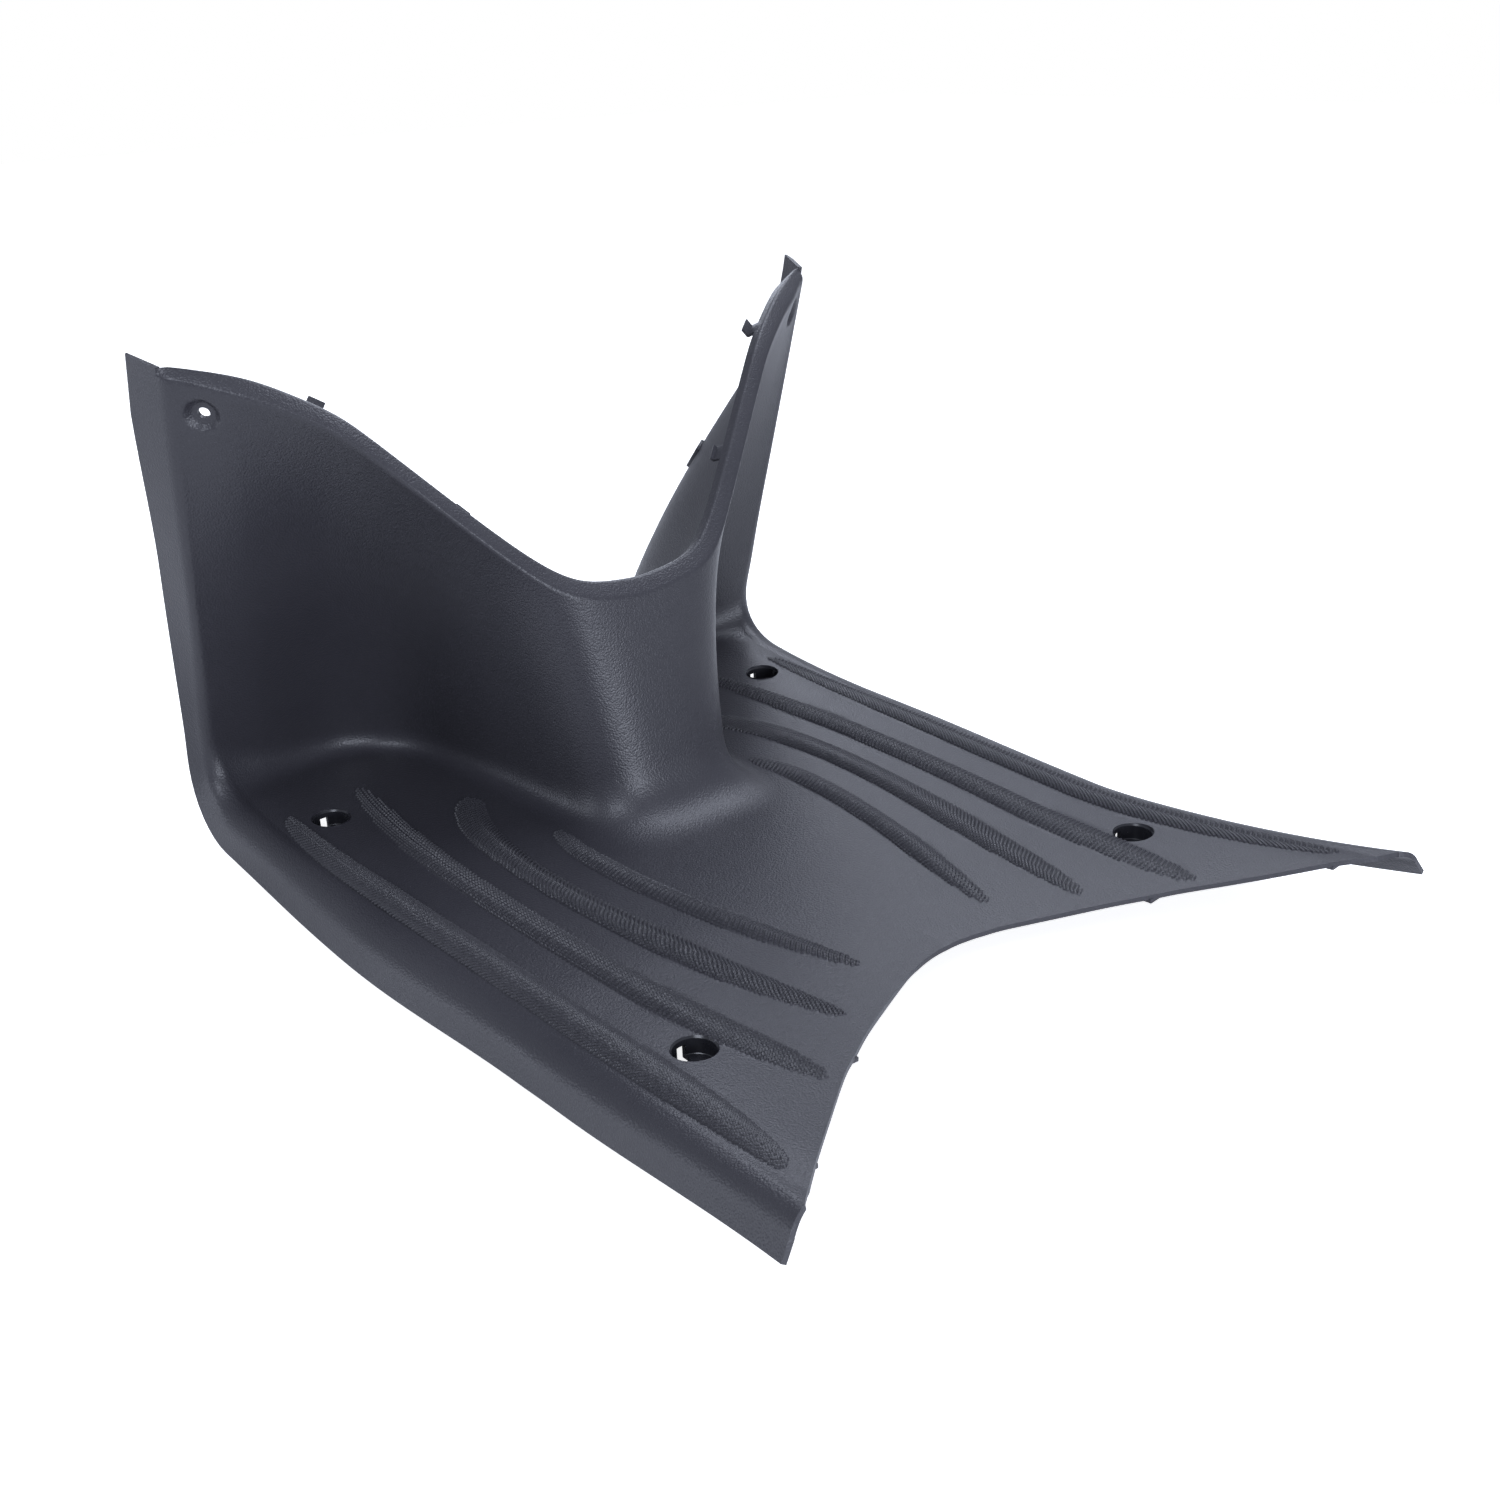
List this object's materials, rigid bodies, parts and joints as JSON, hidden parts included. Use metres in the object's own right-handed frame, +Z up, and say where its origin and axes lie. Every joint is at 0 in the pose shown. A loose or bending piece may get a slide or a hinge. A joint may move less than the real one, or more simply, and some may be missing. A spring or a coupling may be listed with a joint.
{
  "type": "scooter floorboard",
  "caption": "Moulded black plastic scooter floorboard: ridged floor with flared side skirts, two foot wells, a column cover in the middle and a leg shield rising to two winged upper corners.",
  "frame": {"origin": "centre of the bounding box, at its lowest point", "axes": "+Y towards the front of the scooter, +Z up, +X to the rider's right"},
  "size_m": [0.428, 0.5262, 0.2873],
  "materials": {
    "shell": "matte"
  },
  "bodies": {
    "root": {"floorboard": "shell"}
  },
  "joints": []
}
